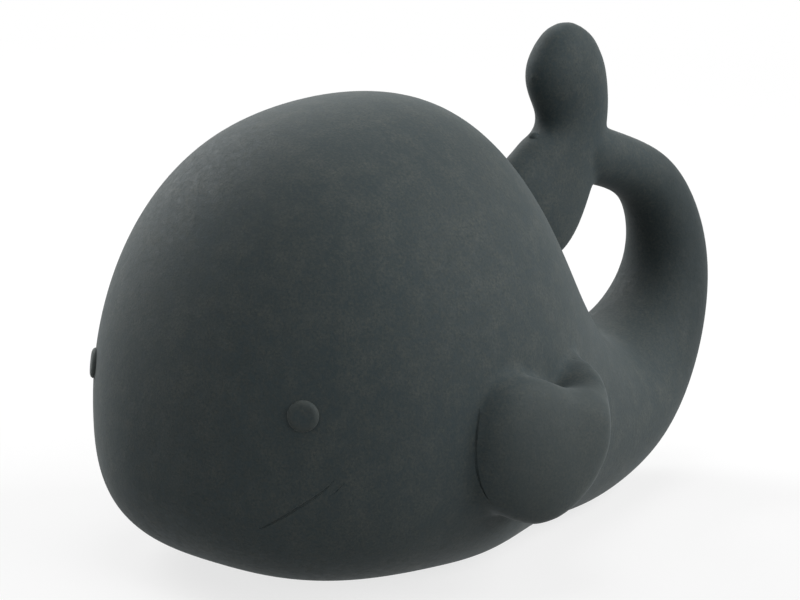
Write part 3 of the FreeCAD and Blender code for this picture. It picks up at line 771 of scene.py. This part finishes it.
def rubber():
    # Matt rubber with a suede-like bloom, a painted highlight on the eyes' shoulders, painted shade towards
    # the tail's end and painted light on the flippers
    material, nodes, links = newMaterial("DarkRubber")
    shader = nodes["Principled BSDF"]
    broad = mottled(nodes, rubberLook["patchSize"], rubberLook["grainSize"])
    fine = mottled(nodes, rubberLook["cloudSize"], rubberLook["speckSize"])
    patch = ranged(nodes, links, broad.outputs["Patches"], (0.3, 0.7), (0.05, 0.95))
    haze = ranged(nodes, links, fine.outputs["Patches"], (0.45, 0.75), (0, 0.75))
    speck = ranged(nodes, links, fine.outputs["Grain"], (0.38, 0.7), (0, 0.6))
    grain = ranged(nodes, links, broad.outputs["Grain"], (0.35, 0.7), (0, 0.85))
    colour = mixed(nodes, links, patch, rubberLook["dark"], rubberLook["light"])
    colour = mixed(nodes, links, haze, colour, rubberLook["dustAndHighlight"])
    colour = mixed(nodes, links, speck, colour, rubberLook["dustAndHighlight"])
    colour = mixed(nodes, links, grain, colour, rubberLook["dark"])
    across, along, _ = foldedPlace(nodes, links)
    # Painted shade towards the tail's end and painted light on the flippers
    for source, reach, other in (
            (along, rubberLook["tailShadeReach"], rubberLook["tail"]),
            (across, rubberLook["flipperLightReach"], rubberLook["flipper"])):
        share = ranged(nodes, links, source, reach[:2], (0, reach[2]))
        colour = mixed(nodes, links, share, colour, other)
    # Painted highlight: the eyes' shoulders are lightened towards the dust colour, standing in for grazing
    # sheen
    rim = nodes.new("ShaderNodeGroup")
    rim.node_tree = eyeRimHighlightGroup()
    rimHighlightShare = ranged(nodes, links, rim.outputs["Rim"], (0, 1), (0, rubberLook["rimHighlight"]))
    colour = mixed(nodes, links, rimHighlightShare, colour, rubberLook["dustAndHighlight"])
    links.new(colour, shader.inputs["Base Color"])
    links.new(ranged(nodes, links, fine.outputs["Grain"], (0.3, 0.7), rubberLook["roughness"]),
              shader.inputs["Roughness"])
    shader.inputs["Specular IOR Level"].default_value = rubberLook["specular"]
    shader.inputs["Sheen Weight"].default_value = rubberLook["sheen"]
    shader.inputs["Sheen Roughness"].default_value = rubberLook["sheenRoughness"]
    shader.inputs["Sheen Tint"].default_value = (*rubberLook["sheenTint"], 1)
    bumped(nodes, links, shader, [
        (fine.outputs["Patches"], 0.2, 0.25),
        (fine.outputs["Grain"], 0.06, 0.5),
        (broad.outputs["Grain"], 0.03, 0.7),
    ])
    return material


plasticLook = {
    "colour": (0.74, 0.73, 0.69),
    "shade": (0.62, 0.60, 0.55),
    "patchSize": 7.0,
    "grainSize": 0.25,
    "roughness": (0.32, 0.48),
}


def plastic():
    # Milky moulded plastic, a little yellowed in patches
    material, nodes, links = newMaterial("MilkyPlastic")
    shader = nodes["Principled BSDF"]
    marks = mottled(nodes, plasticLook["patchSize"], plasticLook["grainSize"])
    cloud = ranged(nodes, links, marks.outputs["Patches"], (0.4, 0.75), (0, 1))
    links.new(mixed(nodes, links, cloud, plasticLook["colour"], plasticLook["shade"]),
              shader.inputs["Base Color"])
    links.new(ranged(nodes, links, marks.outputs["Patches"], (0.3, 0.7), plasticLook["roughness"]),
              shader.inputs["Roughness"])
    shader.inputs["IOR"].default_value = 1.49
    bumped(nodes, links, shader, [(marks.outputs["Grain"], 0.012, 0.5)])
    return material


filmLook = {
    "colour": (0.66, 0.58, 0.36),
    "shade": (0.52, 0.43, 0.22),
    "patchSize": 2.0,
    "grainSize": 0.5,
    "stretch": (4, 4, 0.25),    # scratches run along the tongue
    "roughness": (0.18, 0.4),
}


def film():
    # Thin amber film with scratches along it
    material, nodes, links = newMaterial("AmberFilm")
    shader = nodes["Principled BSDF"]
    marks = mottled(nodes, filmLook["patchSize"], filmLook["grainSize"], filmLook["stretch"])
    links.new(mixed(nodes, links, marks.outputs["Patches"], filmLook["colour"], filmLook["shade"]),
              shader.inputs["Base Color"])
    links.new(ranged(nodes, links, marks.outputs["Grain"], (0.4, 0.6), filmLook["roughness"]),
              shader.inputs["Roughness"])
    bumped(nodes, links, shader, [(marks.outputs["Grain"], 0.008, 0.4)])
    return material


def dressed(piece, material):
    piece.data.materials.clear()
    piece.data.materials.append(material)
    piece.data.polygons.foreach_set("material_index", [0] * len(piece.data.polygons))


rubberFinish, plasticFinish, filmFinish = rubber(), plastic(), film()
dressed(skin, rubberFinish)
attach(skin, "whale")
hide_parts("whale_skin")
dressed(squeakerPlug, plasticFinish)
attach(squeakerPlug, "whale")
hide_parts("squeaker_housing")
for node, finish in (
        ("squeaker_cap", plasticFinish), ("reed_seat", plasticFinish),
        ("reed_wedge", plasticFinish), ("reed_tongue", filmFinish)):
    for slot in bpy.data.objects[node].material_slots:
        slot.material = finish
print("materials on")

# Floor, backdrop and light

studio = {
    "floorSize": 6.0,
    "floorHeight": -0.1,        # just clear of the flat underside
    "floorColour": (1, 1, 1),
    "bounceColour": (0.13, 0.13, 0.13),     # what the floor throws back on the whale
    "shadow": 0.25,                         # how much of the shadow the camera sees
    "shadowReach": (0.2, 0.5),              # where it fades to plain white
    "worldStrength": 0.06,
    "aim": (0, 0.02, 0.04),
    "lightSize": 0.5,
    "lights": [
        # name, place, power
        ("TopLight", (0, 0.02, 0.89), 2.0),
        ("BackLight", (0.5, 0.52, 0.48), 4.4),
        ("LeftLight", (-0.7, 0.02, 0.47), 5.3),
        ("NoseLight", (0, -0.81, 0.22), 1.2),
        ("RightLight", (0.82, 0.1, 0.2), 2.4),
    ],
}


def seenDirectly(nodes, links):
    # 1 where the camera, a reflection or a see-through surface looks straight at it
    rays = nodes.new("ShaderNodeLightPath")
    total = rays.outputs["Is Camera Ray"]
    for name in ("Is Glossy Ray", "Is Transmission Ray"):
        adding = nodes.new("ShaderNodeMath")
        adding.operation = "ADD"
        adding.use_clamp = True
        links.new(total, adding.inputs[0])
        links.new(rays.outputs[name], adding.inputs[1])
        total = adding.outputs["Value"]
    return total


def paper():
    # White from above and clear from below
    material, nodes, links = newMaterial("Paper")
    shader = nodes["Principled BSDF"]
    shader.inputs["Roughness"].default_value = 0.9
    shader.inputs["Specular IOR Level"].default_value = 0.0
    direct = seenDirectly(nodes, links)
    links.new(mixed(nodes, links, direct, studio["bounceColour"], studio["floorColour"]),
              shader.inputs["Base Color"])
    place = nodes.new("ShaderNodeTexCoord")
    away = nodes.new("ShaderNodeVectorMath")
    away.operation = "LENGTH"
    links.new(place.outputs["Object"], away.inputs[0])
    glow = nodes.new("ShaderNodeEmission")
    part = nodes.new("ShaderNodeMath")
    part.operation = "MULTIPLY"
    links.new(direct, part.inputs[0])
    links.new(ranged(nodes, links, away.outputs["Value"], studio["shadowReach"], (1 - studio["shadow"], 1)),
              part.inputs[1])
    blend = nodes.new("ShaderNodeMixShader")
    links.new(part.outputs["Value"], blend.inputs["Fac"])
    links.new(shader.outputs["BSDF"], blend.inputs[1])
    links.new(glow.outputs["Emission"], blend.inputs[2])
    side = nodes.new("ShaderNodeNewGeometry")
    clear = nodes.new("ShaderNodeBsdfTransparent")
    oneSided = nodes.new("ShaderNodeMixShader")
    links.new(side.outputs["Backfacing"], oneSided.inputs["Fac"])
    links.new(blend.outputs["Shader"], oneSided.inputs[1])
    links.new(clear.outputs["BSDF"], oneSided.inputs[2])
    links.new(oneSided.outputs["Shader"], nodes["Material Output"].inputs["Surface"])
    return material


bpy.ops.mesh.primitive_plane_add(size=studio["floorSize"], location=(0, 0, studio["floorHeight"] * mm))
floor = startPiece("Floor")
floor.data.materials.append(paper())

world = bpy.data.worlds.new("Studio")
bpy.context.scene.world = world
world.use_nodes = True
worldNodes, worldLinks = world.node_tree.nodes, world.node_tree.links
background = worldNodes["Background"]
background.inputs["Color"].default_value = (1, 1, 1, 1)
level = worldNodes.new("ShaderNodeMapRange")
level.inputs["To Min"].default_value = studio["worldStrength"]
level.inputs["To Max"].default_value = 1.0
worldLinks.new(seenDirectly(worldNodes, worldLinks), level.inputs["Value"])
worldLinks.new(level.outputs["Result"], background.inputs["Strength"])

for name, place, power in studio["lights"]:
    bpy.ops.object.light_add(type="AREA", location=place)
    light = bpy.context.object
    light.name = name
    light.data.shape = "SQUARE"
    light.data.size = studio["lightSize"]
    light.data.energy = power
    light.rotation_euler = (Vector(studio["aim"]) - Vector(place)).to_track_quat("-Z", "Y").to_euler()
print("studio lit")

# Camera

view = {
    "turn": 46,
    "lift": 13.5,
    "distance": 0.7,
    "aim": (0, 0, 0.035),
    "aimPixel": (326.0, 338.8),
    "pixelsPerMm": 6.25,
    "imageWidth": 800,
    "sensorWidth": 36,
}

turn, lift = math.radians(view["turn"]), math.radians(view["lift"])
back = Vector((math.sin(turn) * math.cos(lift), -math.cos(turn) * math.cos(lift), math.sin(lift)))
right = Vector((math.cos(turn), math.sin(turn), 0))
aside = Vector((400 - view["aimPixel"][0], view["aimPixel"][1] - 300)) / view["pixelsPerMm"] * mm
lookAt = Vector(view["aim"]) + right * aside.x + back.cross(right) * aside.y
bpy.ops.object.camera_add(location=Vector(view["aim"]) + back * view["distance"])
camera = bpy.context.object
camera.name = "Camera"
camera.rotation_euler = (lookAt - camera.location).to_track_quat("-Z", "Y").to_euler()
camera.data.sensor_width = view["sensorWidth"]
camera.data.lens = view["pixelsPerMm"] / mm * view["distance"] * view["sensorWidth"] / view["imageWidth"]
bpy.context.scene.camera = camera
bpy.context.scene.view_settings.view_transform = "Standard"
